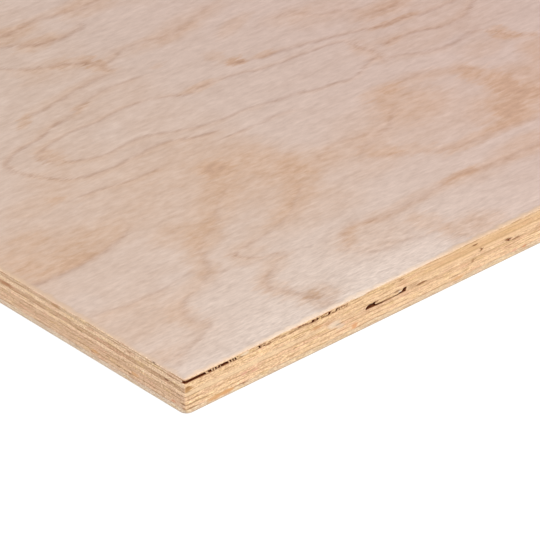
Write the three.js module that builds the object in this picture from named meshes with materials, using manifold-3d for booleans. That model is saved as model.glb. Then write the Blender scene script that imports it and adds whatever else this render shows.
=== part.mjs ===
// A full sheet of 18 mm hardwood plywood, lying flat with its face veneer up.
//
// Nine veneers are peeled from the log, spread with glue and pressed into one sheet, the
// grain of each square to the grain of the next: long plies run with the sheet's length,
// cross plies over its width. The sheet is then sawn to size and both faces are sanded.
// Where a veneer was split or torn, the saw cut opens the gap in the sheet's edge.
//
// Millimetres. X runs along the face grain, Y across it, and Z up from the underside.

import * as THREE from 'three';
import Module from 'manifold-3d';

// The sawn sheet
const sheetLength = 2440;
const sheetWidth = 1220;
const cornerRadius = 1.2;
const backCornerRadius = 4; // the back's corners are knocked round in handling
const arris = 0.4; // sanding takes the sharp edge off the face and the back
const cornerSteps = 4;

// How thick each ply is, from the face down to the back
const faceThickness = 0.8;
const crossPly2Thickness = 1.45;
const longPly3Thickness = 2.45;
const crossPly4Thickness = 2;
const longPly5Thickness = 2.2;
const crossPly6Thickness = 1.9;
const longPly7Thickness = 2.3;
const crossPly8Thickness = 2;
const backThickness = 2.9;

// The split under the face veneer, where the first cross ply stops short of the corner.
// It opens on the long edge, and round the corner a little way up the short edge.
const cornerSplit = { to: 11.2, upShortEdge: 1.8, depth: 9 };

// Gaps between the torn slivers of the first cross ply: the stretch of the long edge that
// each one opens, measured from the sheet's corner, how far it leans towards the far end
// from the ply's underside to its top, and how far in it goes
const sliverGaps = [
  { from: 10.8, to: 12.4, lean: -1.2, depth: 8 },
  { from: 13.5, to: 15.4, lean: -0.7, depth: 7 },
  { from: 15.8, to: 16.4, lean: -0.1, depth: 4 },
  { from: 17.3, to: 18.0, lean: -0.5, depth: 5 },
  { from: 18.7, to: 19.9, lean: 0.1, depth: 3 },
  { from: 20.6, to: 24.8, lean: -0.7, depth: 8 },
  { from: 25.7, to: 26.5, lean: -0.6, depth: 5 },
  { from: 27.0, to: 27.8, lean: -0.4, depth: 5 },
  { from: 28.4, to: 29.3, lean: -0.7, depth: 3 },
  { from: 42.0, to: 42.9, lean: -0.7, depth: 4 },
  { from: 71.8, to: 73.4, lean: 0.2, depth: 5 },
  { from: 74.9, to: 75.6, lean: -0.1, depth: 3 },
  { from: 81.0, to: 82.6, lean: 0.6, depth: 4 },
  { from: 85.2, to: 86.4, lean: 1.0, depth: 4 },
];

// The hollow in the middle ply, where a strip of it broke out along its own grain: two
// torn holes, and the open glue line between them. Its opening in the long edge is drawn
// by places along the edge and their share of the ply's thickness up from its underside.
const brokenStrip = {
  depth: 3.5,
  opening: [
    [103.2, 0],
    [126.3, 0],
    [126.9, 0.3],
    [127.3, 0.6],
    [127.1, 1],
    [126, 1],
    [125.2, 0.88],
    [124.7, 0.68],
    [124.2, 0.38],
    [122.4, 0.24],
    [117.5, 0.12],
    [112.5, 0.15],
    [110.4, 0.27],
    [108.9, 0.36],
    [108.5, 0.56],
    [109.2, 0.98],
    [109.2, 1],
    [107.6, 1],
    [107.2, 0.86],
    [105.4, 0.95],
    [104.4, 0.9],
    [103.5, 0.66],
    [102.9, 0.3],
  ],
};

const outside = 2; // how far a cutter reaches past the surface that it cuts open

const wasm = await Module();
wasm.setup();

// The sheet's outline seen from above, drawn in by inset all round
function sheetOutline(inset, radius) {
  const x = sheetLength / 2 - inset;
  const y = sheetWidth / 2 - inset;
  const r = radius - inset;
  const quarter = Math.PI / 2;
  const shape = new THREE.Shape();
  shape.absarc(x - r, -y + r, r, -quarter, 0);
  shape.absarc(x - r, y - r, r, 0, quarter);
  shape.absarc(-x + r, y - r, r, quarter, 2 * quarter);
  shape.absarc(-x + r, -y + r, r, 2 * quarter, 3 * quarter);
  return shape.getPoints(cornerSteps).slice(0, -1);
}

// A closed solid through a stack of outlines that have as many points each, lowest first
function stackOutlines(levels) {
  const positions = [];
  const indices = [];
  for (const { outline, z } of levels) {
    for (const point of outline) {
      positions.push(point.x, point.y, z);
    }
  }
  const count = levels[0].outline.length;
  const top = (levels.length - 1) * count;
  for (let start = 0; start < top; start += count) {
    for (let i = 0; i < count; i++) {
      const a = start + i;
      const b = start + ((i + 1) % count);
      indices.push(a, b, b + count, a, b + count, a + count);
    }
  }
  for (const [a, b, c] of THREE.ShapeUtils.triangulateShape(levels[0].outline, [])) {
    indices.push(c, b, a, a + top, b + top, c + top);
  }
  const geometry = new THREE.BufferGeometry();
  geometry.setAttribute('position', new THREE.Float32BufferAttribute(positions, 3));
  geometry.setIndex(indices);
  geometry.computeVertexNormals();
  return geometry;
}

// One veneer inside the sheet, its edges as the saw left them
function innerVeneer(thickness) {
  const outline = sheetOutline(0, cornerRadius);
  return stackOutlines([
    { outline, z: 0 },
    { outline, z: thickness },
  ]);
}

function faceVeneer(thickness) {
  const full = sheetOutline(0, cornerRadius);
  return stackOutlines([
    { outline: full, z: 0 },
    { outline: full, z: thickness - arris },
    { outline: sheetOutline(arris, cornerRadius), z: thickness },
  ]);
}

function backVeneer(thickness) {
  return stackOutlines([
    { outline: sheetOutline(arris, backCornerRadius), z: 0 },
    { outline: sheetOutline(0, backCornerRadius), z: arris },
    { outline: sheetOutline(0, cornerRadius), z: thickness },
  ]);
}

// Turns an outline on the XY plane, pushed up from z = 0 by a depth, so that the outline
// stands on the long edge and the push goes into the sheet
function standOnLongEdge(geometry, depth) {
  geometry.rotateX(Math.PI / 2);
  geometry.translate(0, depth, 0);
  return geometry;
}

// Cutters for the gaps, with the sheet's corner at 0, 0 and the ply's underside at z = 0.
// Each starts a little outside the edge, so that it cuts the edge open.
function cornerSplitCutter(thickness) {
  const { to, upShortEdge, depth } = cornerSplit;
  const outline = [
    [-outside, -outside],
    [to, -outside],
    [to, depth * 0.8],
    [to * 0.75, depth],
    [to * 0.5, depth * 0.9],
    [to * 0.25, depth * 0.7],
    [to * 0.2, upShortEdge],
    [-outside, upShortEdge],
  ].map(([along, inward]) => new THREE.Vector2(along, inward));
  return stackOutlines([
    { outline, z: -outside },
    { outline, z: thickness + outside },
  ]);
}

function openingCutter(opening, depth) {
  const outline = opening.map(([along, up]) => new THREE.Vector2(along, up));
  const cutter = stackOutlines([
    { outline, z: 0 },
    { outline, z: depth + outside },
  ]);
  return standOnLongEdge(cutter, depth);
}

function sliverGapCutter({ from, to, lean, depth }, thickness) {
  const leanPast = (lean * outside) / thickness;
  const opening = [
    [from - leanPast, -outside],
    [to - leanPast, -outside],
    [to + lean + leanPast, thickness + outside],
    [from + lean + leanPast, thickness + outside],
  ];
  return openingCutter(opening, depth);
}

function brokenStripCutter(thickness) {
  const opening = brokenStrip.opening.map(([along, share]) => {
    if (share === 0) {
      return [along, -outside];
    }
    return [along, share === 1 ? thickness + outside : share * thickness];
  });
  return openingCutter(opening, brokenStrip.depth);
}

function toManifold(geometry) {
  return new wasm.Manifold(
    new wasm.Mesh({
      numProp: 3,
      vertProperties: geometry.attributes.position.array,
      triVerts: new Uint32Array(geometry.index.array),
    })
  );
}

// Cuts gaps out of a veneer's edge beside the sheet's corner
function cutGaps(geometry, cutters) {
  let solid = toManifold(geometry);
  for (const cutter of cutters) {
    cutter.translate(-sheetLength / 2, -sheetWidth / 2, 0);
    solid = solid.subtract(toManifold(cutter));
  }
  const { vertProperties, triVerts } = solid.getMesh();
  const cut = new THREE.BufferGeometry();
  cut.setAttribute('position', new THREE.BufferAttribute(vertProperties, 3));
  cut.setIndex(new THREE.BufferAttribute(triVerts, 1));
  cut.computeVertexNormals();
  return cut;
}

function splitCrossPly(thickness) {
  return cutGaps(innerVeneer(thickness), [
    cornerSplitCutter(thickness),
    ...sliverGaps.map((gap) => sliverGapCutter(gap, thickness)),
  ]);
}

function brokenLongPly(thickness) {
  return cutGaps(innerVeneer(thickness), [brokenStripCutter(thickness)]);
}

// The plies in the order they lie in the press, the back first
const plies = [
  { name: 'back_veneer', build: backVeneer, thickness: backThickness, color: 0xe3cba8 },
  { name: 'cross_ply_8', build: innerVeneer, thickness: crossPly8Thickness, color: 0xebc79f },
  { name: 'long_ply_7', build: innerVeneer, thickness: longPly7Thickness, color: 0xf0cba2 },
  { name: 'cross_ply_6', build: innerVeneer, thickness: crossPly6Thickness, color: 0xe8c199 },
  { name: 'long_ply_5', build: brokenLongPly, thickness: longPly5Thickness, color: 0xefcaa0 },
  { name: 'cross_ply_4', build: innerVeneer, thickness: crossPly4Thickness, color: 0xecc59a },
  { name: 'long_ply_3', build: innerVeneer, thickness: longPly3Thickness, color: 0xefc59a },
  { name: 'cross_ply_2', build: splitCrossPly, thickness: crossPly2Thickness, color: 0xeac195 },
  { name: 'face_veneer', build: faceVeneer, thickness: faceThickness, color: 0xd6b9a8 },
];

const sheet = new THREE.Group();
let height = 0;
for (const { name, build, thickness, color } of plies) {
  const material = new THREE.MeshStandardMaterial({ color, roughness: 0.75, metalness: 0 });
  const ply = new THREE.Mesh(build(thickness), material);
  ply.name = name;
  ply.position.z = height;
  sheet.add(ply);
  height += thickness;
}

export default sheet;
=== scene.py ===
import math

import bpy
from mathutils import Matrix, Vector


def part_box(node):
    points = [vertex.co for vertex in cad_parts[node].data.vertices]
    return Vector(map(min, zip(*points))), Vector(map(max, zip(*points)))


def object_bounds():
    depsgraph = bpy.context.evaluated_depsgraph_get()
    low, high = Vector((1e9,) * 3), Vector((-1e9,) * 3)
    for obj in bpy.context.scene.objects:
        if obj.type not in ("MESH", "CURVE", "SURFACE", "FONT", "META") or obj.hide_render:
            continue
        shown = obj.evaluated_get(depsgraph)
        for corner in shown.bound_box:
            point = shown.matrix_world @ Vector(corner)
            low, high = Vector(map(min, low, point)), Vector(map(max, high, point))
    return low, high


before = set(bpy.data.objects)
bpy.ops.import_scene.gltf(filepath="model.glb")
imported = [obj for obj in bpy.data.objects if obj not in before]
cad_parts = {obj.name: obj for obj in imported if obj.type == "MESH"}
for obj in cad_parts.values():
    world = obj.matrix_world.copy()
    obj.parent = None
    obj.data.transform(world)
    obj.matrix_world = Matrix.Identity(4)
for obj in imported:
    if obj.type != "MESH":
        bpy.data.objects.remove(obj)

cad_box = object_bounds()


# The back veneer: the lowest of nine veneers peeled from a pale hardwood log, glued under
# the core and sanded as the face is. Its edge is sawn through with the whole sheet, and
# the bottom of that edge is painted greyer, as shade where the sheet meets the floor.
MM = 0.001
low, high = (Vector(corner) for corner in cad_box)
sheet_length, sheet_width, sheet_thickness = (high - low) / MM


class Wire:
    """A shader socket that takes part in sums, each step of a sum a Math node."""

    def __init__(self, nodes, socket):
        self.nodes = nodes
        self.socket = socket

    def step(self, operation, *values):
        inputs = dict(enumerate(values))
        return self.nodes.node("ShaderNodeMath", {"operation": operation}, inputs)

    def __add__(self, other):
        return self.step("ADD", self, other)

    def __sub__(self, other):
        return self.step("SUBTRACT", self, other)

    def __rsub__(self, other):
        return self.step("SUBTRACT", other, self)

    def __mul__(self, other):
        return self.step("MULTIPLY", self, other)

    def __truediv__(self, other):
        return self.step("DIVIDE", self, other)

    def __rtruediv__(self, other):
        return self.step("DIVIDE", other, self)

    def __pow__(self, other):
        return self.step("POWER", self, other)

    def __rpow__(self, other):
        return self.step("POWER", other, self)

    def __neg__(self):
        return self.step("MULTIPLY", self, -1.0)

    def __abs__(self):
        return self.step("ABSOLUTE", self)

    __radd__ = __add__
    __rmul__ = __mul__

    def least(self, other):
        return self.step("MINIMUM", self, other)

    def most(self, other):
        return self.step("MAXIMUM", self, other)

    def exp(self):
        return self.step("EXPONENT", self)

    def fraction(self):
        return self.step("FRACT", self)

    def ease(self, start, end, most=1.0):
        """0 where the value is start, most where it is end, and smooth between them."""
        settings = {"interpolation_type": "SMOOTHSTEP", "clamp": False}
        inputs = {"Value": self, "From Min": start, "From Max": end, "To Max": most}
        return self.nodes.node("ShaderNodeMapRange", settings, inputs)


class Nodes:
    """The nodes of a material or of the studio's light."""

    def __init__(self, owner):
        owner.use_nodes = True
        self.tree = owner.node_tree
        self.tree.nodes.clear()

    def node(self, kind, settings=None, inputs=None, output=0):
        """Adds a node, its settings first and then its sockets, and gives one output."""
        node = self.tree.nodes.new(kind)
        for name, value in (settings or {}).items():
            if name == "curve":
                self.draw_curve(node.mapping, value)
            else:
                setattr(node, name, value)
        for key, value in (inputs or {}).items():
            socket = self.find(node.inputs, key)
            if isinstance(value, Wire):
                self.tree.links.new(value.socket, socket)
            else:
                socket.default_value = value
        return Wire(self, self.find(node.outputs, output)) if node.outputs else None

    @staticmethod
    def draw_curve(mapping, places):
        """Leads a Float Curve through places between 0 and 1, and on level past both ends."""
        points = mapping.curves[0].points
        for _ in places[2:]:
            points.new(0.5, 0.5)
        for point, place in zip(points, places):
            point.location = place
        mapping.extend = "HORIZONTAL"
        mapping.update()

    @staticmethod
    def find(sockets, key):
        if isinstance(key, int):
            return sockets[key]
        return next(s for s in sockets if key in (s.identifier, s.name))


class Finish(Nodes):
    """A material in the making, and the few calls that its patterns need."""

    def __init__(self, name):
        self.material = bpy.data.materials.new(name)
        super().__init__(self.material)
        self.place = self.node("ShaderNodeTexCoord", output="Object")

    def millimetres(self):
        """The place in millimetres from the shown corner: along, across and up the sheet."""
        inputs = {"Vector": self.place, "Location": -low / MM, "Scale": (1 / MM, 1 / MM, 1 / MM)}
        place = self.node("ShaderNodeMapping", {"vector_type": "POINT"}, inputs)
        return [self.node("ShaderNodeSeparateXYZ", None, {0: place}, axis) for axis in "XYZ"]

    def noise(self, cell, seed=0.0, detail=1.0, roughness=0.5):
        """Noise around 0, about one to each side, in cells of this size in millimetres."""
        scale = [1 / (size * MM) for size in cell]
        inputs = {"Vector": self.place, "Location": (0.0, 0.0, 10.0 * seed), "Scale": scale}
        cells = self.node("ShaderNodeMapping", {"vector_type": "POINT"}, inputs)
        inputs = {"Vector": cells, "Scale": 1.0, "Detail": detail, "Roughness": roughness}
        return self.node("ShaderNodeTexNoise", {"normalize": False}, inputs)

    def vector(self, x, y, z=0.0):
        return self.node("ShaderNodeCombineXYZ", None, {0: x, 1: y, 2: z})

    def spot(self, where, place, half, turn=0.0, strength=1.0):
        """strength at a place on a plane, which eases to 0 at 1.4 times half its size."""
        reach = [1.4 * size for size in half]
        inputs = {"Vector": where, "Location": (*place, 0.0), "Scale": (*reach, 1.0)}
        inputs["Rotation"] = (0.0, 0.0, math.radians(turn))
        away = self.node("ShaderNodeMapping", {"vector_type": "TEXTURE"}, inputs)
        cone = self.node("ShaderNodeTexGradient", {"gradient_type": "SPHERICAL"}, {0: away}, 1)
        return cone.ease(0.0, 0.64, strength)

    def mix(self, first, second, share, blend="MIX"):
        inputs = {"Factor_Float": share, "A_Color": first, "B_Color": second}
        settings = {"data_type": "RGBA", "clamp_factor": True, "blend_type": blend}
        return self.node("ShaderNodeMix", settings, inputs, "Result_Color")

    def brighten(self, colour, share, shadow=(0.0, 0.0, 0.0, 1.0)):
        """The colour drawn away from its shadow, or towards it where the share is below 0."""
        inputs = {"Factor_Float": -share, "A_Color": colour, "B_Color": shadow}
        settings = {"data_type": "RGBA", "clamp_factor": False}
        return self.node("ShaderNodeMix", settings, inputs, "Result_Color")

    def surface(self, colour, roughness, height, depth):
        """Ends the material with a matt wood surface, raised by height times depth."""
        inputs = {"Strength": 1.0, "Distance": depth, "Height": height}
        relief = self.node("ShaderNodeBump", None, inputs)
        inputs = {"Base Color": colour, "Roughness": roughness, "Specular IOR Level": 0.3}
        inputs["Normal"] = relief
        shader = self.node("ShaderNodeBsdfPrincipled", None, inputs)
        self.node("ShaderNodeOutputMaterial", None, {"Surface": shader})
        return self.material


def tone(red, green, blue):
    """A colour given as screen values from 0 to 255, for a socket."""
    shares = [value / 255 for value in (red, green, blue)]
    linear = [v / 12.92 if v <= 0.04045 else ((v + 0.055) / 1.055) ** 2.4 for v in shares]
    return (*linear, 1.0)


def short_edge_share(x, y):
    """1 on the short edges and 0 on the long ones, with a quick change at each corner."""
    from_short = sheet_length / 2 - abs(x - sheet_length / 2)
    from_long = sheet_width / 2 - abs(y - sheet_width / 2)
    return (from_short - from_long).ease(0.5, -0.5)


glue_tone = tone(186, 138, 96)
# Painted shade: the dark inside the sheet's gaps and small openings
gap_shade_tone = tone(112, 48, 12)
torn_tone = tone(128, 76, 38)
brown = tone(146, 94, 52)
orange = tone(228, 170, 112)
pink = tone(234, 178, 148)
pale = tone(248, 228, 206)
yellow = tone(244, 208, 142)
edge_shadow = tone(160, 118, 80)
fleck_shadow = tone(165, 100, 40)

# Knots, stains and small tears in the shown sawn edges, with painted shade in the small
# openings: the place along the edge and down from the face, how far it reaches along and up, its
# tone and how strong it is
long_edge_marks = [
    ((1.6, 5.5), (2.8, 1.6), tone(188, 136, 80), 0.85),
    ((1.0, 4.4), (2.2, 0.3), brown, 0.6),
    ((2.0, 6.7), (2.0, 0.3), brown, 0.6),
    ((4.0, 8.9), (4.5, 0.35), brown, 0.45),
    ((5.0, 10.8), (5.0, 0.35), brown, 0.45),
    ((4.0, 13.0), (5.0, 0.4), brown, 0.6),
    ((3.0, 15.2), (4.0, 0.35), brown, 0.5),
    ((26.0, 7.7), (50.0, 1.3), tone(252, 220, 178), 0.6),
    ((10.8, 13.1), (2.6, 0.35), brown, 0.5),
    ((16.5, 15.8), (4.5, 1.0), orange, 0.8),
    ((23.5, 15.6), (4.0, 1.0), orange, 0.9),
    ((32.4, 15.5), (0.8, 0.5), brown, 0.7),
    ((31.0, 15.2), (4.5, 0.3), brown, 0.4),
    ((33.0, 10.8), (2.2, 0.6), pink, 0.9),
    ((39.0, 11.6), (2.0, 0.5), pink, 0.8),
    ((31.4, 2.0), (1.6, 0.45), brown, 0.7),
    ((34.0, 1.3), (2.4, 0.6), pale, 0.6),
    ((42.4, 1.1), (1.4, 0.5), torn_tone, 0.7),
    ((45.0, 0.9), (1.5, 0.5), brown, 0.7),
    ((47.2, 2.1), (1.4, 0.45), brown, 0.8),
    ((52.0, 1.0), (1.8, 0.4), brown, 0.6),
    ((55.6, 2.0), (1.5, 0.5), brown, 0.7),
    ((60.4, 1.9), (1.8, 0.5), brown, 0.6),
    ((63.8, 1.6), (1.2, 0.5), tone(170, 130, 96), 0.8),
    ((65.4, 1.4), (0.7, 0.8), torn_tone, 0.7),
    ((67.2, 1.3), (0.6, 0.7), brown, 0.8),
    ((69.6, 1.6), (1.6, 0.6), brown, 0.8),
    ((74.0, 1.6), (1.6, 0.7), torn_tone, 0.8),
    ((71.6, 1.8), (0.8, 0.5), torn_tone, 0.6),
    ((77.4, 1.6), (1.6, 0.7), yellow, 0.8),
    ((78.4, 1.9), (1.2, 0.4), brown, 0.9),
    ((79.0, 0.9), (1.0, 0.35), brown, 0.8),
    ((77.0, 1.2), (0.7, 0.35), gap_shade_tone, 0.9),
    ((78.8, 1.9), (0.6, 0.3), gap_shade_tone, 0.9),
    ((80.6, 2.0), (1.2, 0.4), torn_tone, 0.8),
    ((84.8, 2.0), (1.2, 0.4), brown, 0.9),
    ((87.2, 1.1), (1.2, 0.45), torn_tone, 0.8),
    ((89.3, 1.1), (0.6, 0.3), gap_shade_tone, 0.8),
    ((90.8, 1.1), (1.5, 0.35), brown, 0.9),
    ((92.9, 1.7), (1.0, 0.6), brown, 0.5),
    ((75.0, 5.6), (3.0, 0.9), tone(216, 160, 108), 0.8),
    ((61.9, 10.7), (0.6, 0.35), brown, 0.7),
    ((59.0, 10.4), (1.2, 0.3), brown, 0.25),
    ((84.5, 8.4), (3.2, 1.6), pale, 0.6),
    ((88.0, 10.4), (2.6, 1.4), pale, 0.45),
    ((100.0, 0.4), (4.0, 0.4), pale, 0.9),
    ((87.0, 9.2), (2.2, 0.3), tone(178, 156, 138), 0.6),
    ((89.4, 9.0), (0.7, 0.4), brown, 0.5),
    ((96.5, 13.8), (1.9, 1.3), tone(232, 166, 116), 0.8),
    ((119.2, 2.0), (0.8, 0.8), brown, 0.4),
    ((123.8, 2.1), (1.0, 0.7), brown, 0.5),
    ((109.2, 7.0), (1.4, 0.5), torn_tone, 0.7),
    ((111.5, 8.6), (3.0, 0.6), torn_tone, 0.9),
    ((117.0, 8.6), (9.0, 0.5), brown, 0.6),
    ((121.8, 6.9), (1.8, 0.5), torn_tone, 0.7),
    ((123.5, 8.2), (1.3, 0.45), gap_shade_tone, 1.0),
    ((123.2, 7.6), (1.0, 0.4), pale, 0.9),
    ((130.8, 8.0), (2.8, 0.9), brown, 0.35),
    ((135.8, 8.7), (3.2, 0.5), brown, 0.95),
    ((127.4, 10.7), (1.3, 0.3), brown, 0.3),
    ((144.0, 9.1), (1.8, 0.3), brown, 0.5),
    ((152.0, 10.0), (0.8, 0.5), brown, 0.35),
    ((158.0, 15.2), (4.0, 0.8), orange, 0.6),
    ((172.0, 1.7), (44.0, 0.8), tone(244, 202, 156), 0.6),
    ((174.0, 3.4), (44.0, 1.1), tone(228, 182, 132), 0.6),
    ((174.0, 4.9), (46.0, 0.6), tone(216, 172, 124), 0.7),
    ((174.0, 6.4), (44.0, 1.1), tone(250, 210, 166), 0.55),
    ((176.0, 9.4), (44.0, 0.7), tone(214, 172, 130), 0.5),
    ((167.9, 2.4), (1.4, 0.55), brown, 1.0),
    ((171.9, 6.1), (0.9, 1.0), brown, 1.0),
    ((166.9, 9.9), (1.0, 0.8), brown, 0.6),
    ((188.0, 7.6), (1.9, 0.5), brown, 1.0),
    ((189.4, 8.2), (1.2, 0.6), gap_shade_tone, 1.0),
    ((193.0, 8.9), (2.6, 0.5), brown, 0.8),
    ((192.2, 14.8), (1.6, 0.6), pink, 0.8),
    ((198.0, 15.3), (1.6, 0.5), tone(222, 150, 108), 0.8),
]
short_edge_marks = [
    ((20.3, 0.3), (1.1, 0.6), tone(120, 84, 62), 0.9),
    ((12.4, 5.3), (1.9, 0.4), tone(140, 92, 62), 1.0),
    ((8.0, 5.2), (2.0, 0.3), brown, 0.6),
    ((16.4, 5.4), (0.9, 0.4), brown, 0.7),
    ((4.6, 5.6), (1.4, 0.3), brown, 0.6),
    ((1.2, 6.6), (1.2, 0.35), brown, 0.5),
    ((1.4, 12.9), (1.6, 0.4), brown, 0.8),
    ((1.0, 14.9), (1.4, 0.4), tone(176, 116, 70), 0.8),
    ((37.0, 2.6), (1.8, 0.4), brown, 0.5),
    ((9.0, 2.4), (2.4, 0.3), brown, 0.5),
    ((3.8, 9.5), (0.7, 0.35), tone(130, 92, 76), 0.7),
    ((17.4, 9.9), (0.7, 0.35), brown, 0.5),
    ((24.0, 9.9), (0.8, 0.3), brown, 0.5),
    ((28.8, 10.0), (1.0, 0.3), brown, 0.4),
    ((36.0, 11.4), (0.9, 0.4), brown, 0.4),
    ((33.5, 12.4), (2.4, 0.9), orange, 0.6),
    ((36.8, 13.6), (1.0, 0.4), tone(150, 88, 56), 0.8),
    ((40.0, 13.5), (1.2, 0.3), brown, 0.35),
    ((43.8, 13.4), (1.2, 0.4), tone(150, 96, 64), 0.7),
    ((28.0, 13.3), (1.0, 0.35), brown, 0.5),
    ((20.5, 13.3), (0.8, 0.35), brown, 0.5),
    ((14.6, 13.5), (0.9, 0.35), brown, 0.45),
    ((7.6, 14.1), (1.3, 0.6), tone(226, 150, 116), 0.8),
    ((62.4, 13.8), (0.9, 0.5), tone(176, 112, 72), 0.8),
    ((60.2, 13.0), (2.6, 0.8), orange, 0.7),
    ((51.8, 11.6), (1.5, 0.4), brown, 0.5),
    ((45.6, 13.3), (0.8, 0.4), brown, 0.6),
    ((70.2, 6.8), (1.9, 0.4), brown, 0.5),
    ((57.6, 5.2), (1.5, 0.6), pink, 0.6),
    ((122.0, 5.6), (4.6, 0.8), tone(182, 120, 80), 0.7),
    ((104.0, 7.0), (1.8, 0.5), brown, 0.35),
    ((98.0, 1.7), (40.0, 0.8), tone(198, 162, 126), 0.4),
    ((87.0, 1.6), (3.2, 0.7), tone(190, 134, 86), 0.7),
    ((95.0, 1.6), (3.0, 0.5), tone(190, 140, 92), 0.5),
    ((80.8, 5.6), (1.6, 0.6), pink, 0.5),
    ((72.4, 15.8), (2.4, 0.5), brown, 0.35),
    ((101.0, 11.6), (1.6, 0.4), brown, 0.3),
]
marked_reach = 240.0  # no mark is farther than this from the shown corner
marked_fade = 25.0
glue_soak = 0.42  # how far into a ply its glue shows as a dark line


def sawn_edge(finish, place, name, long_tone, short_tone):
    """The colour of one ply where the saw cut through it."""
    x, y, z = place
    bottom, top = (corner[2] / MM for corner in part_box(name))
    share = short_edge_share(x, y)
    broad = finish.noise((26.0, 26.0, 1.3), seed=3, detail=2.0)
    fine = finish.noise((4.0, 4.0, 0.5), seed=5, detail=3.0, roughness=0.65)
    hue = finish.noise((9.0, 9.0, 1.6), seed=7, detail=2.0)
    vein = finish.noise((9.0, 9.0, 0.45), seed=9, detail=2.0).ease(0.15, 0.6, 0.4)
    colour = finish.mix(long_tone, short_tone, share)
    colour = finish.mix(colour, pink, hue.ease(0.1, 0.7, 0.35))
    colour = finish.mix(colour, yellow, hue.ease(-0.1, -0.7, 0.35))
    colour = finish.brighten(colour, broad * 0.12 + fine * 0.26, edge_shadow)
    coarse = (x + y).ease(100.0, 40.0, 0.24) + share * 0.1 + 0.34
    flecks = finish.noise((1.1, 1.1, 0.4), seed=43) * coarse
    colour = finish.brighten(colour, flecks, fleck_shadow)
    level = z + finish.noise((16.0, 16.0, 4.0), seed=1, detail=2.0) * 0.55
    glue = 0.0
    if bottom > 0.0:
        glue = level.ease(bottom + glue_soak, bottom)
    if top < sheet_thickness:
        glue = level.ease(top - glue_soak, top).most(glue)
    broken = finish.noise((8.0, 8.0, 2.0), seed=11, detail=3.0).ease(-0.35, 0.4, 0.62)
    shown_glue = glue * (broken + share * (x + y).ease(90.0, 40.0, 0.14) + 0.18)
    colour = finish.mix(colour, glue_tone, shown_glue.most(vein))
    near_shown = (x + y).ease(marked_reach, marked_reach - marked_fade)
    on_long = near_shown * (1.0 - share)
    on_short = near_shown * share
    for marks, along, shown in ((long_edge_marks, x, on_long), (short_edge_marks, y, on_short)):
        where = finish.vector(along + fine * 1.4, z + fine * 0.3)
        for (mark_along, depth), half, mark_tone, strength in marks:
            up = sheet_thickness - depth
            if bottom - 2 * half[1] < up < top + 2 * half[1]:
                amount = finish.spot(where, (mark_along, up), half, 0.0, strength)
                colour = finish.mix(colour, mark_tone, amount * shown)
    return colour


through = 1000.0  # a cell this tall is the same all through a veneer
ring_width = 110.0  # from one ring to the next, on average
loop_rings = 2.6  # how many rings the deepest loops run through


def growth_rings(finish, y):
    """Ring rims and the tan that fades away beside them, in loops drawn out along x."""
    loops = finish.noise((360.0, 110.0, through), seed=11, detail=2.0, roughness=0.45) * loop_rings
    height = loops + y / ring_width
    height = height + finish.noise((26.0, 14.0, through), seed=7, detail=3.0) * 0.03
    height = height + finish.noise((18.0, 0.9, through), seed=0, detail=2.0) * 0.03
    step = height.fraction()
    region = finish.noise((700.0, 240.0, through), seed=37, detail=2.0).ease(-0.45, 0.4, 0.75) + 0.25
    vigour = finish.noise((120.0, 50.0, through), seed=17).ease(-0.9, 0.75, 0.8) * region
    rim = (step * step * -400.0).exp() * vigour
    field = finish.noise((150.0, 50.0, through), seed=29, detail=3.0).ease(-0.1, 0.75, 1.0) * region
    return rim, (step * -3.5).exp() * vigour + field


face_light = tone(214, 190, 175)
face_tan = tone(210, 173, 144)
face_line = tone(172, 134, 114)
# Painted sheen: the brighter tone where the lamps glance off the face
painted_sheen_tone = tone(227, 208, 195)
face_shadow = tone(96, 50, 0)


def sanded_veneer(finish, rim, tan, painted_sheen=0.0, grey=0.0):
    """The colour and the relief of a sanded veneer with these ring rims and this tan.

    The sheen it is given is a painted highlight, where the lamps glance off the sanded face, and
    grey is how far the tan has dulled.
    """
    fine = finish.noise((4.5, 1.0, through), seed=19, detail=2.0, roughness=0.6)
    patchy = finish.noise((7.0, 3.0, through), seed=13, detail=3.0, roughness=0.6)
    streak = finish.noise((14.0, 2.2, through), seed=5, detail=2.0)
    cloud = finish.noise((26.0, 9.0, through), seed=9, detail=2.0)
    pores = finish.noise((6.0, 0.45, through), seed=31).ease(0.7, 1.35, 0.05)
    tan = tan * (patchy * 0.3 + 1.0)
    share = tan * (0.8 - grey * 0.12) + cloud * 0.09 + patchy * 0.03
    colour = finish.mix(face_light, face_tan, share)
    # A painted sheen: the face drawn towards a brighter tone where the lamps glance off it
    colour = finish.mix(colour, painted_sheen_tone, painted_sheen * (1.0 - tan.least(1.0)))
    # Where the tan is at its fullest it turns to the brown of the rims
    dark = (tan + grey * 0.2 - 0.95) * 0.33
    colour = finish.mix(colour, face_line, dark.most(0.0) + rim * (patchy * 0.25 + 0.4))
    shade = streak * 0.062 - patchy * 0.075 - cloud * 0.055
    shade = shade * (painted_sheen * 0.35 + 1.0) + fine * (painted_sheen * 0.12 + 0.06)
    colour = finish.brighten(colour, shade - pores, face_shadow)
    # Fine bright flecks, found only within the painted sheen
    crisp = finish.noise((3.0, 0.55, through), seed=41)
    return finish.brighten(colour, crisp * painted_sheen * 0.13), fine


back_edge = (tone(238, 210, 176), tone(232, 208, 184))
back_bottom_shade = tone(196, 178, 156)
sanded_relief = 0.03 * MM


def back_finish():
    finish = Finish("back_veneer")
    place = finish.millimetres()
    _, y, z = place
    colour, relief = sanded_veneer(finish, *growth_rings(finish, y))
    edge = sawn_edge(finish, place, "back_veneer", *back_edge)
    # Painted shade: the sawn edge greyer towards the bottom, where the sheet lies on the floor
    edge = finish.mix(edge, back_bottom_shade, z.ease(1.3, 0.2, 0.7))
    colour = finish.mix(edge, colour, z.ease(0.1, 0.02))
    return finish.surface(colour, 0.65, relief, sanded_relief)


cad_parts["back_veneer"].material_slots[0].material = back_finish()


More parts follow.
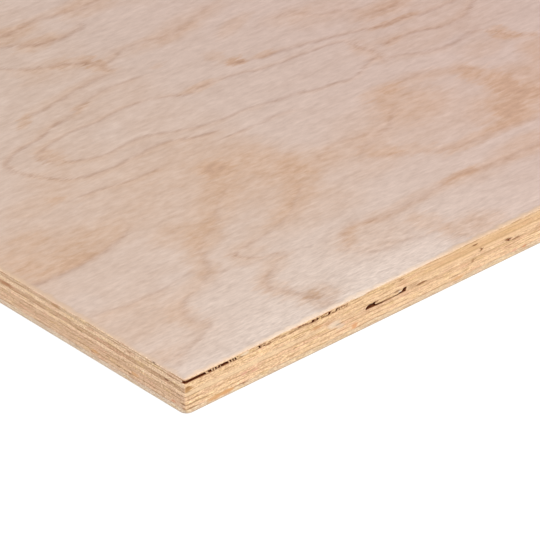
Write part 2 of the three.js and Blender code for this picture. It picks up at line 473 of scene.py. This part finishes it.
# The plies between back and face: peeled hardwood veneers, glued one on the next and
# sawn through with the sheet. The long plies show long grain on the long edge and end
# grain on the short one, and the cross plies the other way round.
ply_tones = {
    "cross_ply_2": (tone(240, 201, 156), tone(236, 204, 172)),
    "long_ply_3": (tone(250, 210, 165), tone(247, 213, 178)),
    "cross_ply_4": (tone(250, 211, 168), tone(218, 179, 144)),
    "long_ply_5": (tone(247, 208, 167), tone(250, 215, 180)),
    "cross_ply_6": (tone(246, 205, 164), tone(230, 192, 158)),
    "long_ply_7": (tone(252, 214, 171), tone(234, 196, 162)),
    "cross_ply_8": (tone(251, 214, 172), tone(238, 203, 170)),
}
fibre_tone = tone(176, 122, 78)
corner_radius = 1.2
sawn_relief = 0.05 * MM

# Where the first cross ply is torn along the shown long edge: from, and to
torn_ply = "cross_ply_2"
torn_stretches = ((9.0, 31.0), (41.0, 49.0), (61.0, 94.0))


def inset_of(x, y):
    """How far in from the sheet's rounded outline a place is, in millimetres."""
    past_x = abs(x - sheet_length / 2) - (sheet_length / 2 - corner_radius)
    past_y = abs(y - sheet_width / 2) - (sheet_width / 2 - corner_radius)
    out_x = past_x.most(0.0)
    out_y = past_y.most(0.0)
    reach = (out_x * out_x + out_y * out_y) ** 0.5
    return corner_radius - reach - past_x.most(past_y).least(0.0)


def torn_specks(finish, colour, x, y):
    """Painted shade in specks between the slivers, where small bits of the torn ply are missing."""
    holes = finish.noise((0.9, 0.9, 0.5), seed=45, detail=2.0).ease(0.15, 0.45) * y.ease(1.0, 0.3)
    for first, last in torn_stretches:
        here = x.ease(first - 2.0, first + 2.0) * x.ease(last + 2.0, last - 2.0)
        colour = finish.mix(colour, gap_shade_tone, holes * here)
    return colour


def ply_finish(name, long_tone, short_tone):
    finish = Finish(name)
    place = finish.millimetres()
    x, y, _ = place
    colour = sawn_edge(finish, place, name, long_tone, short_tone)
    if name == torn_ply:
        colour = torn_specks(finish, colour, x, y)
    # Painted shade: faces set in from the sheet's outline, which show only inside the gaps, are
    # painted dark with paler fibres across them
    fibres = finish.noise((0.8, 6.0, 0.5), seed=15).ease(0.0, 0.6, 0.4)
    shaded_gap_wall = finish.mix(gap_shade_tone, fibre_tone, fibres)
    colour = finish.mix(colour, shaded_gap_wall, inset_of(x, y).ease(0.05, 0.4))
    saw = finish.noise((0.7, 0.7, 9.0), seed=21)
    grain = finish.noise((12.0, 12.0, 0.3), seed=23, detail=2.0)
    return finish.surface(colour, 0.75, saw * 0.5 + grain, sawn_relief)


for name, (long_tone, short_tone) in ply_tones.items():
    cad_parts[name].material_slots[0].material = ply_finish(name, long_tone, short_tone)


# The face: one sanded veneer peeled from a pale hardwood log, with its grain along the
# sheet. The growth rings that the knife ran through draw long loops and zigzags on it,
# each with a brown rim on one side that fades into tan on the other.
arris = 0.4
face_edge = (tone(243, 206, 168), tone(240, 208, 179))
rosy = tone(255, 250, 254)
rim_tan = tone(214, 182, 154)
rim_tone = tone(243, 207, 172)
bare_rim_highlight_tone = tone(249, 225, 204)

# Ring lines that run mostly with the grain: places along and across the sheet, then
# how strong the line is, how wide, how far its tan reaches, and to which side of the
# line: +1 is away from the shown long edge
rings_with_grain = [
    ([(0, 65), (10, 66), (20, 64), (38, 63), (50, 65), (60, 66)], 0.5, 0.8, 4, -1),
    ([(-4, 16), (6, 17), (14, 18.5), (22, 20), (30, 23)], 0.35, 1.0, 8, 1),
    ([(-4, 106), (6, 104), (18, 103.5), (32, 104.5), (46, 106.5), (56, 109),
      (64, 114)], 0.75, 1.3, 14, 1),
    ([(68, 57), (78, 54.5), (90, 52), (102, 50)], 0.3, 0.7, 2, 1),
    ([(82, 62), (87, 65.5), (95, 66.5), (103, 67), (110, 69.3), (118, 71.7), (126, 75.5),
      (134, 81.5), (146, 88)], 0.5, 1.0, 5, 1),
    ([(121, 32), (124, 37), (128, 42), (133, 46), (138, 47.5), (144, 46.5), (152, 43.5), (163, 44),
      (178, 44.5), (192, 46), (204, 47), (214, 44.5), (228, 43), (244, 43.5),
      (262, 46)], 0.5, 1.7, 3, -1),
    ([(120, 31), (126, 26), (133, 22.5), (144, 21), (152, 19), (158, 17)], 0.35, 1.0, 5, 1),
    ([(181, 88), (190, 83.5), (197, 79.5), (203, 75), (209, 71), (216, 68.5), (224, 67), (232, 65),
      (240, 64), (252, 63.5), (266, 60)], 0.4, 1.3, 4, 1),
    ([(181, 89), (186, 94), (193, 97), (202, 100), (210, 103), (217, 109),
      (226, 115)], 0.4, 1.6, 6, 1),
    ([(166, 101), (174, 105), (182, 107), (192, 105), (204, 104)], 0.35, 0.9, 4, -1),
    ([(240, 131), (250, 130), (258, 128), (265, 125), (272, 120), (278, 112)], 0.35, 1.3, 6, -1),
    ([(57, 191), (60, 196), (66, 199.5), (73, 202.5), (82, 204), (90, 206), (98, 209.5),
      (106, 210.5)], 1.0, 1.0, 3, 1),
    ([(57, 190), (59, 186), (63, 179), (67, 173), (71, 168), (79, 162), (88, 160.7), (100, 161),
      (112, 162.3), (122, 162.5), (132, 159), (142, 155), (152, 154)], 0.85, 1.0, 4, -1),
    ([(77, 193), (82, 195), (90, 197.5), (105, 199.5), (112, 198), (122, 198.5), (132, 199.5),
      (146, 198.5)], 0.8, 0.9, 3, 1),
    ([(78, 188), (81, 180), (87, 175.5), (94, 173), (101, 172), (110, 173), (118, 173), (128, 170),
      (136, 167), (144, 163.5), (152, 161.5), (162, 160), (172, 160), (184, 157), (198, 155.5),
      (210, 151.5), (220, 150), (227, 148), (234, 150), (242, 154), (252, 156)], 0.75, 0.9, 3, -1),
    ([(150, 196), (157, 193.5), (164, 189), (172, 190.5), (186, 189), (195, 187), (202, 183.5),
      (210, 182.5), (222, 182.5), (234, 181), (244, 179.5), (250, 176),
      (255, 170)], 0.75, 0.9, 3, 1),
    ([(196, 198), (204, 195), (213, 192.5), (222, 191), (232, 189), (242, 186), (252, 183),
      (264, 179.5), (274, 176.5), (286, 175.5), (298, 172), (312, 171),
      (330, 174)], 0.75, 1.1, 3, 1),
    ([(272, 190), (280, 188.5), (288, 187.5), (296, 188), (306, 186)], 0.45, 1.2, 6, 1),
    ([(244, 219), (250, 217), (256, 211), (262, 205), (270, 202), (280, 197)], 0.45, 1.6, 4, -1),
    ([(258, 163), (268, 162.5), (280, 161), (287, 158), (293, 156), (303, 156.3), (311, 158),
      (318, 162.5), (328, 168)], 0.8, 1.1, 4, 1),
    ([(256, 151), (264, 147), (273, 142.5), (284, 141), (296, 142), (303, 142.5), (307, 138),
      (310, 131), (315, 125), (322, 120)], 0.65, 1.2, 4, -1),
    ([(64, 150.5), (74, 149.5), (86, 147), (98, 145.3), (112, 145.5)], 0.75, 0.8, 3, -1),
    ([(148, 147), (158, 145.5), (170, 145), (180, 146), (190, 143)], 0.6, 0.8, 3, -1),
    ([(98, 224), (108, 224.5), (120, 226.5), (131, 228.5), (140, 230), (148, 230)], 0.7, 1.3, 5, 1),
    ([(112, 274), (118, 267), (124, 261), (131, 256), (139, 252), (146, 247),
      (151, 241)], 0.8, 1.3, 5, -1),
    ([(152, 239), (158, 239), (165, 242), (172, 244.5), (182, 242), (194, 240),
      (208, 242)], 0.55, 1.0, 4, 1),
    ([(194, 238), (206, 241), (216, 246), (226, 249), (236, 251), (246, 254)], 0.4, 1.2, 4, -1),
    ([(108, 211), (116, 214), (124, 217), (132, 219), (144, 219.3), (158, 218)], 0.6, 0.9, 3, -1),
    ([(124, 288), (132, 283), (139, 278), (147, 274.5), (156, 273), (164, 273.5),
      (172, 278)], 0.85, 1.6, 4, 1),
    ([(130, 296), (138, 294), (146, 294.5), (156, 296), (166, 294), (176, 291), (184, 290.5),
      (198, 293)], 0.55, 1.7, 4, 1),
]

# Ring lines that run mostly over the grain, drawn the same way, with their tan away
# from the shown short edge (+1) or towards it (-1)
rings_over_grain = [
    ([(65, 177), (61, 183), (58, 189), (59, 195), (63, 200)], 0.7, 1.1, 3, 1),
    ([(6, 12), (14, 16), (23, 19.5), (31, 23), (37, 29), (35, 34), (35, 40), (38, 47), (45, 51),
      (55, 53), (62, 57), (67, 62), (70, 68), (73, 75), (79, 81), (87, 86), (96, 91), (101, 97),
      (110, 104), (122, 112)], 0.45, 1.6, 8, -1),
    ([(89, -4), (87, 6), (84.5, 14), (80.5, 22), (77.5, 28), (75.5, 32), (79, 36.5), (84.5, 41),
      (91.5, 45), (98, 47.5), (102, 50)], 0.5, 1.8, 6, -1),
    ([(102, 50), (95, 52.5), (90, 54.5), (86, 58), (84, 62), (83, 66)], 0.85, 1.0, 3, -1),
    ([(151, 230), (152, 236), (151, 243), (147, 249)], 0.35, 2.0, 10, -1),
    ([(78, 182), (76, 188), (78, 194)], 0.6, 1.6, 5, 1),
    ([(250, 149), (252.5, 155), (252, 162), (250, 169), (252, 177)], 0.6, 1.1, 3, -1),
]

# Tan fields and spots: the place, how far it reaches both ways, its turn and how strong
# it is, below 0 where the wood is paler than round about
tan_patches = [
    ((108, 122), (50, 34), 20, 0.26),
    ((100, 99), (38, 11), 40, 0.25),
    ((134, 112), (28, 34), 0, 0.29),
    ((147, 108), (14, 28), 0, 0.28),
    ((162, 102), (16, 14), 0, 0.42),
    ((136, 84), (28, 9), 33, 0.3),
    ((132, 70), (34, 14), 0, 0.27),
    ((126, 128), (9, 9), 0, 0.46),
    ((126, 128), (5, 4), 0, 0.7),
    ((58, 140), (50, 28), 0, 0.13),
    ((40, 122), (38, 11), 0, 0.12),
    ((18, 128), (30, 22), 0, 0.27),
    ((34, 114), (34, 11), 0, 0.17),
    ((26, 136), (10, 8), 0, 0.3),
    ((28, 107.5), (16, 4.5), 0, 0.5),
    ((74, 95), (12, 9), 35, 0.35),
    ((126, 211), (36, 13), 0, 0.15),
    ((80, 187), (6, 12), 0, 0.5),
    ((14, 30), (28, 20), 0, 0.22),
    ((34, 38), (7, 14), 0, 0.3),
    ((14, 52), (30, 14), 0, 0.38),
    ((6, 20), (10, 8), 0, 0.2),
    ((56, 56), (16, 6), 15, 0.36),
    ((67, 66), (7, 10), 0, 0.3),
    ((84, 85), (16, 8), 38, 0.34),
    ((86, 11), (11, 10), 0, 0.5),
    ((87, 14), (4, 3.5), 0, 0.45),
    ((97, 11), (8, 7), 0, 0.15),
    ((77, 31), (7, 12), 0, 0.5),
    ((90, 45), (12, 6), 20, 0.44),
    ((90, 22), (12, 8), 0, 0.12),
    ((88, 60), (10, 10), 0, 0.33),
    ((138, 34), (24, 15), 0, 0.42),
    ((129, 41), (11, 4.5), 42, 0.34),
    ((164, 26), (7, 12), 0, 0.52),
    ((177, 10), (17, 10), 0, 0.66),
    ((180, 45), (44, 5), 0, 0.4),
    ((204, 47), (12, 3.5), 0, 0.54),
    ((244, 46), (22, 9), 0, 0.62),
    ((212, 42), (16, 8), 0, 0.25),
    ((192, 87), (10, 8), -35, 0.28),
    ((180, 82), (18, 12), 0, 0.3),
    ((206, 76), (16, 5), -35, 0.34),
    ((234, 66), (24, 5), 0, 0.58),
    ((264, 78), (22, 15), 0, 0.76),
    ((262, 76), (9, 6), 0, 0.7),
    ((286, 90), (18, 18), 0, 0.74),
    ((256, 66), (16, 6), 0, 0.36),
    ((274, 104), (9, 20), 0, 0.62),
    ((270, 116), (7, 9), 0, 0.4),
    ((254, 127), (14, 6), -20, 0.42),
    ((230, 128), (12, 7), 0, 0.6),
    ((230, 110), (20, 16), 0, 0.48),
    ((222, 100), (44, 28), 0, 0.3),
    ((186, 101), (24, 9), 0, 0.32),
    ((312, 106), (12, 14), 0, 0.75),
    ((309, 131), (6, 8), 0, 0.95),
    ((292, 127), (12, 9), 0, 0.35),
    ((317, 123), (6, 3), -40, 0.5),
    ((250, 162), (5, 14), 0, 0.3),
    ((290, 165), (44, 26), 0, 0.3),
    ((268, 162), (7, 3), 0, 0.5),
    ((280, 176), (15, 2.2), -5, 0.75),
    ((234, 128), (7, 3.5), 0, 0.4),
    ((286, 190), (18, 8), 0, 0.62),
    ((262, 206), (22, 12), 0, 0.38),
    ((171, 190.5), (11, 4), 0, 0.7),
    ((200, 198), (5, 4.5), 0, 1.3),
    ((214, 194), (6, 3), 0, 0.75),
    ((196, 208), (5, 6), 0, 0.45),
    ((150, 241), (5, 11), 0, 0.7),
    ((142, 250), (11, 5), -25, 0.42),
    ((120, 250), (9, 6), 15, 0.24),
    ((130, 257), (18, 6), -15, 0.32),
    ((122, 228), (28, 5), 5, 0.2),
    ((92, 222), (8, 3), 40, 0.75),
    ((170, 241), (18, 6), 0, 0.25),
    ((117, 214), (6, 2.4), 30, 0.5),
    ((170, 220), (4, 2), 0, 0.5),
    ((192, 238), (8, 3.5), 0, 0.3),
    ((207, 239), (6, 4), 0, 0.25),
    ((56, 156), (4, 3.5), 0, 0.5),
    ((204, 243), (28, 9), 10, 0.45),
    ((222, 226), (14, 5), 20, 0.5),
    ((246, 215), (14, 8), 0, 0.35),
    ((138, 293), (16, 8), 0, 0.75),
    ((166, 296), (20, 4), 0, 0.3),
    ((186, 290), (18, 10), 0, 0.6),
    ((144, 277), (14, 6), 0, 0.65),
    ((46, 158), (20, 8), 0, 0.25),
    ((92, 170), (50, 30), 0, 0.11),
    ((90, 170), (9, 8), 0, 0.18),
    ((90, 203), (10, 10), 0, 0.14),
    ((72, 80), (9, 6), 0, 0.15),
    ((50, 125), (10, 7), 0, 0.1),
    ((10, 126), (10, 9), 0, 0.12),
    ((130, 154), (14, 9), 0, 0.12),
    ((130, 245), (10, 7), 0, 0.14),
    ((250, 245), (10, 7), 0, 0.2),
    ((208, 276), (10, 7), 0, 0.2),
    ((170, 290), (9, 5), 0, 0.14),
    ((290, 186), (10, 7), 0, 0.15),
    ((170, 259), (9, 7), 0, -0.22),
    ((190, 155), (11, 7), 0, -0.22),
    ((170, 140), (10, 6), 0, -0.15),
    ((150, 95), (6, 6), 0, -0.25),
    ((290, 141), (8, 6), 0, -0.22),
    ((250, 81), (6, 6), 0, -0.25),
    ((231, 124), (6, 4), 0, -0.15),
    ((271, 171), (9, 5), 0, -0.2),
    ((10, 50), (9, 9), 0, -0.15),
    ((10, 78), (8, 8), 0, -0.2),
    ((50, 65), (7, 6), 0, -0.2),
    ((150, 4), (8, 5), 0, -0.2),
    ((112, 186), (9, 8), 0, -0.16),
    ((66, 172), (14, 12), 0, 0.22),
    ((4, 122), (14, 26), 0, 0.18),
]

# Dull spots, given the same way, where the face is a little darker but no browner
stains = [
    ((87, 14), (5, 4.5), 0, 0.06),
    ((92, 17), (16, 13), 0, 0.028),
    ((72, 4), (16, 5), 0, 0.015),
    ((50, 34), (12, 9), 0, 0.015),
]

# The figure above ends at three slanting lines, past which rings drawn by noise go on:
# each line's share of x and of y, and where their sum stops
figure_sides = ((1.0, -1.0, 220.0), (-1.26, 1.0, 140.0), (1.0, 1.0, 500.0))
figure_fade = 60.0
painted_sheen_reach = 38.0  # how far up from the long edge the painted sheen reaches


def ring_line(finish, along, across, places, strength, width, reach, side, over_grain):
    """One ring's rim and the tan beside it, from listed places that follow the rim."""
    run, offset = (across, along) if over_grain else (along, across)
    track = [place[::-1] if over_grain else place for place in places]
    first = track[0][0]
    last = track[-1][0]
    length = last - first
    offsets = [value for _, value in track]
    lowest = min(offsets)
    span = max(offsets) - lowest
    curve = [((at - first) / length, (value - lowest) / span) for at, value in track]
    line = finish.node("ShaderNodeFloatCurve", {"curve": curve}, {"Value": (run - first) / length})
    gap = offset - (line * span + lowest)
    fade = min(0.12 * length, 6.0)
    ends = run.ease(first - fade, first + fade, strength) * run.ease(last + fade, last - fade)
    rim = abs(gap).ease(2.2 * width, 0.0)
    beside = gap.ease(-width * side, width * side) * gap.ease(1.8 * reach * side, 0.0)
    return rim * ends, beside * ends


def shown_rings(finish, x, y):
    """The ring rims, the tan and the dull spots of the figure at the shown corner."""
    fibre_shift = finish.noise((18.0, 0.9, through), seed=0, detail=2.0)
    sway_x = finish.noise((40.0, 16.0, through), seed=3, detail=2.0)
    sway_y = finish.noise((26.0, 14.0, through), seed=7, detail=3.0)
    ragged = finish.noise((8.0, 2.4, through), seed=27, detail=2.0, roughness=0.6)
    along = x + fibre_shift * 3.6 + sway_x * 1.7
    across = y + sway_y * 0.95
    rim = tan = 0.0
    for rings, over_grain in ((rings_with_grain, False), (rings_over_grain, True)):
        for ring in rings:
            ring_rim, ring_tan = ring_line(finish, along, across, *ring, over_grain)
            rim = ring_rim.most(rim)
            tan = ring_tan.most(tan)
    tan = tan * 0.4 + x.ease(166.0, 152.0) * y.ease(40.0, 75.0, 0.16)
    where = finish.vector(along + ragged * 3.6, across + ragged * 1.5)
    for patch in tan_patches:
        tan = tan + finish.spot(where, *patch)
    dull = 0.0
    for stain in stains:
        dull = dull + finish.spot(where, *stain)
    return rim, tan, dull


def corner_figure(finish, x, y):
    """The figure at the shown corner, and rings drawn by noise over the rest of the face."""
    rim, tan, dull = shown_rings(finish, x, y)
    field_rim, field_tan = growth_rings(finish, y)
    shown = 1.0
    for share_x, share_y, reach in figure_sides:
        shown = (x * share_x + y * share_y).ease(reach + figure_fade, reach) * shown
    rim = rim * shown + field_rim * (1.0 - shown)
    tan = tan * shown + field_tan * (1.0 - shown)
    return rim, tan, dull


def worn_rim(finish, colour, x, y):
    """The face's colour with its rim sanded bare, most of all along the long edge, and with a
    painted highlight on the bare rim beside the shown corner.
    """
    worn = finish.noise((5.0, 5.0, through), seed=21, detail=2.0)
    inset = inset_of(x, y) + worn * 1.2
    on_long = 1.0 - short_edge_share(x, y)
    far_rim = x.ease(115.0, 165.0, 0.5).most(y.ease(45.0, 90.0, 0.5))
    colour = finish.mix(colour, rim_tan, inset.ease(3.4, 1.4) * (far_rim + 0.25))
    # A band inside the rim a little paler, a painted sheen
    painted_sheen_band = (1.0 - on_long) * (y.ease(60.0, 90.0, 0.015) + 0.018)
    painted_sheen_band = painted_sheen_band + on_long * x.ease(170.0, 200.0, 0.03)
    painted_sheen_band = inset.ease(16.0, 10.0) * inset.ease(1.5, 5.0) * painted_sheen_band
    colour = finish.brighten(colour, painted_sheen_band)
    # The rim itself, worn bare, and beside the shown corner brighter still with a painted highlight
    warm = on_long * (0.6 - far_rim * 0.3) + 0.25
    colour = finish.mix(colour, rim_tone, inset.ease(2.4, 0.4) * warm)
    rim_highlight_share = x.ease(165.0, 130.0) * (x.ease(15.0, 55.0, 0.5) + 0.5)
    return finish.mix(colour, bare_rim_highlight_tone, inset.ease(2.8, 0.9, 0.85) * on_long * rim_highlight_share)


def face_finish():
    finish = Finish("face_veneer")
    place = finish.millimetres()
    x, y, z = place
    rim, tan, dull = corner_figure(finish, x, y)
    # A painted sheen near the shown corner, where the lamps glance off the sanded face
    painted_sheen = (y * (-1.0 / painted_sheen_reach)).exp() * x.ease(260.0, 110.0)
    painted_sheen = painted_sheen * (x.ease(5.0, 80.0, 0.45) + 0.55)
    colour, relief = sanded_veneer(finish, rim, tan, painted_sheen, y.ease(120.0, 190.0))
    # Painted light: the face a little lighter near the shown corner and darker away from it, as the
    # light falls off
    far = x * 0.4 + y * 0.7
    painted_light_falloff = far.ease(110.0, 40.0, 0.035) - far.ease(120.0, 250.0, 0.055)
    colour = finish.brighten(colour, painted_light_falloff - dull)
    colour = finish.mix(colour, rosy, x.ease(80.0, 320.0), "MULTIPLY")
    colour = worn_rim(finish, colour, x, y)
    edge = sawn_edge(finish, place, "face_veneer", *face_edge)
    colour = finish.mix(edge, colour, z.ease(sheet_thickness - arris, sheet_thickness))
    return finish.surface(colour, 0.62, relief, sanded_relief)


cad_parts["face_veneer"].material_slots[0].material = face_finish()


# The view: down on the shown corner through a long lens, from about two metres away,
# so that the face and two sawn edges show.
lens_view = bpy.data.cameras.new("view")
lens_view.sensor_width = 36.0
lens_view.lens = 333.33
shown_corner = Vector((low.x, low.y, high.z))
view_from = shown_corner + Vector((-1.1269, -1.3898, 1.1252))
view_turn = math.radians(49.761)
view_down = math.radians(30.938)
view_roll = math.radians(-1.734)
forward = Vector((
    math.cos(view_turn) * math.cos(view_down),
    math.sin(view_turn) * math.cos(view_down),
    -math.sin(view_down),
))
level_right = Vector((math.sin(view_turn), -math.cos(view_turn), 0.0))
level_up = level_right.cross(forward)
right = math.cos(view_roll) * level_right + math.sin(view_roll) * level_up
up = math.cos(view_roll) * level_up - math.sin(view_roll) * level_right
camera = bpy.data.objects.new("view", lens_view)
facing = Matrix((right, up, -forward)).transposed().to_4x4()
camera.matrix_world = Matrix.Translation(view_from) @ facing
bpy.context.collection.objects.link(camera)
bpy.context.scene.camera = camera


# The floor: a plain pale floor that the sheet lies on. It shows as white, and keeps
# the sheet's soft shadow. Under the sheet it is cut out, so that the back can be seen.
floor_half = 60000.0 * MM
floor_under = 2.5 * MM  # how far it reaches in under the sheet's rim
floor_drop = 0.05 * MM  # how far it lies below the back, so that the two don't touch


def corners_of(left, near, right, rear):
    return [(left, near), (right, near), (right, rear), (left, rear)]


outer = corners_of(-floor_half, -floor_half, floor_half, floor_half)
inner = corners_of(
    low.x + floor_under, low.y + floor_under, high.x - floor_under, high.y - floor_under)
floor_mesh = bpy.data.meshes.new("floor")
floor_mesh.from_pydata(
    [(x, y, -floor_drop) for x, y in outer + inner], [],
    [(i, (i + 1) % 4, (i + 1) % 4 + 4, i + 4) for i in range(4)])
floor = bpy.data.objects.new("floor", floor_mesh)
bpy.context.collection.objects.link(floor)

white = (1.0, 1.0, 1.0, 1.0)
paint = Finish("floor")
matt = paint.node("ShaderNodeBsdfDiffuse", None, {"Color": tone(225, 225, 225)})
dim = paint.node("ShaderNodeBsdfDiffuse", None, {"Color": tone(165, 165, 165)})
glow = paint.node("ShaderNodeEmission", None, {"Color": white, "Strength": 0.75})
seen = paint.node("ShaderNodeAddShader", None, {0: dim, 1: glow})
direct = paint.node("ShaderNodeLightPath", output="Is Camera Ray")
direct = direct.most(paint.node("ShaderNodeLightPath", output="Is Glossy Ray"))
shader = paint.node("ShaderNodeMixShader", None, {0: direct, 1: matt, 2: seen})
paint.node("ShaderNodeOutputMaterial", None, {"Surface": shader})
floor_mesh.materials.append(paint.material)


# The light: a soft white studio with its main lamp over the long edge's side, and a
# weaker one behind so that the far edges aren't left dark.
def lamp(name, strength, size, turn, painted_light_falloff):
    """A lamp that is size degrees wide as seen from the sheet, at this turn and lift."""
    light = bpy.data.lights.new(name, "SUN")
    light.energy = strength * math.pi
    light.angle = math.radians(size)
    around = math.radians(turn)
    above = math.radians(painted_light_falloff)
    level = math.cos(above)
    towards = Vector((math.cos(around) * level, math.sin(around) * level, math.sin(above)))
    sun = bpy.data.objects.new(name, light)
    sun.rotation_euler = towards.to_track_quat("Z", "Y").to_euler()
    bpy.context.collection.objects.link(sun)


lamp("main_lamp", strength=0.66, size=30, turn=-122, painted_light_falloff=48)
lamp("back_lamp", strength=0.13, size=60, turn=60, painted_light_falloff=40)

# The studio's walls light the sheet from all round, and show as white behind it
world = bpy.data.worlds.new("studio")
bpy.context.scene.world = world
studio = Nodes(world)
ambient = studio.node("ShaderNodeBackground", None, {"Color": white, "Strength": 0.42})
backdrop = studio.node("ShaderNodeBackground", None, {"Color": white, "Strength": 1.0})
direct = studio.node("ShaderNodeLightPath", output="Is Camera Ray")
walls = studio.node("ShaderNodeMixShader", None, {0: direct, 1: ambient, 2: backdrop})
studio.node("ShaderNodeOutputWorld", None, {"Surface": walls})

bpy.context.scene.view_settings.view_transform = "Standard"
